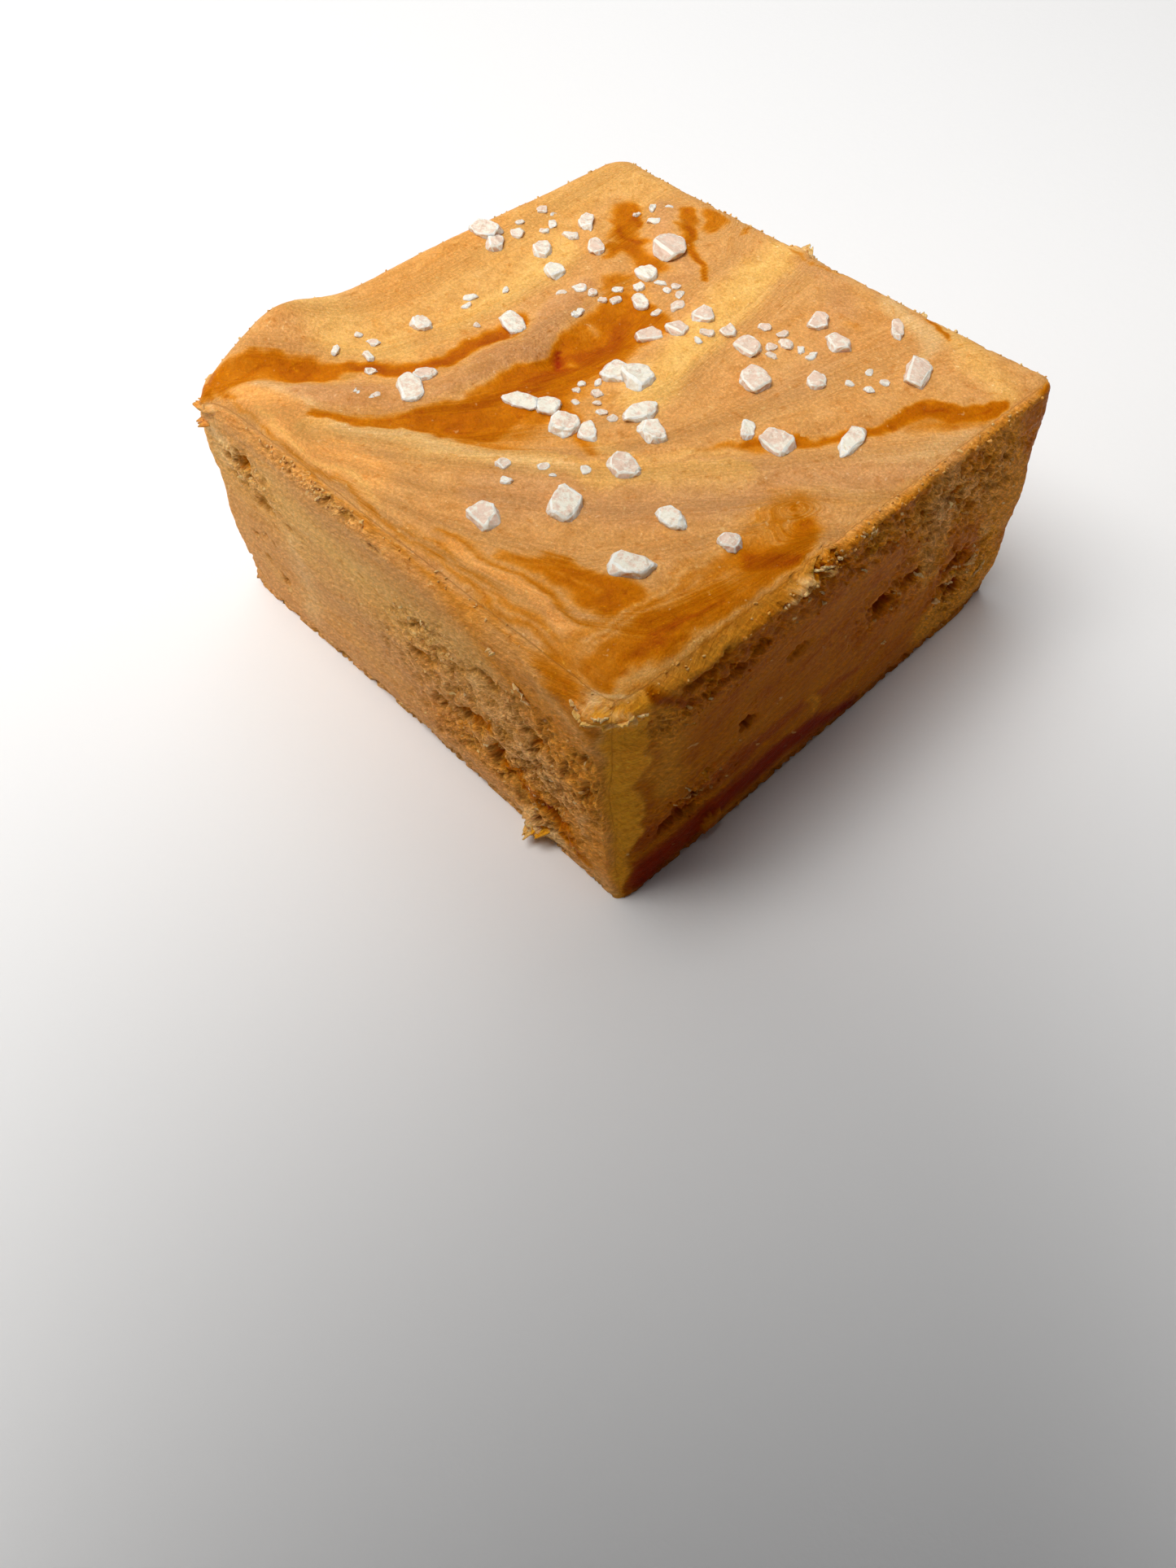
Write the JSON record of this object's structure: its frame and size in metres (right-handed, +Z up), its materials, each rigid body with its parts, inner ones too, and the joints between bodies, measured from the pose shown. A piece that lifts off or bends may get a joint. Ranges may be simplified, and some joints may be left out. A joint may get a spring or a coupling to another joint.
{
  "type": "fudge",
  "caption": "Square of swirled caramel fudge with torn, crumbly cut sides and coarse salt crystals pressed into its softly rolling top",
  "frame": {"origin": "middle of the flat underside", "axes": "+Z up out of the top, +X out of the cut side that is in shade in the picture, -Y out of the cut side that is lit in the picture"},
  "size_m": [0.0417, 0.0411, 0.0199],
  "materials": {
    "fudge": "waxy, fine-grained, tan with cream and amber swirls, slightly moist on top",
    "salt": "cloudy crystal, faintly pink"
  },
  "bodies": {
    "root": {"fudge": "fudge"}
  },
  "joints": []
}
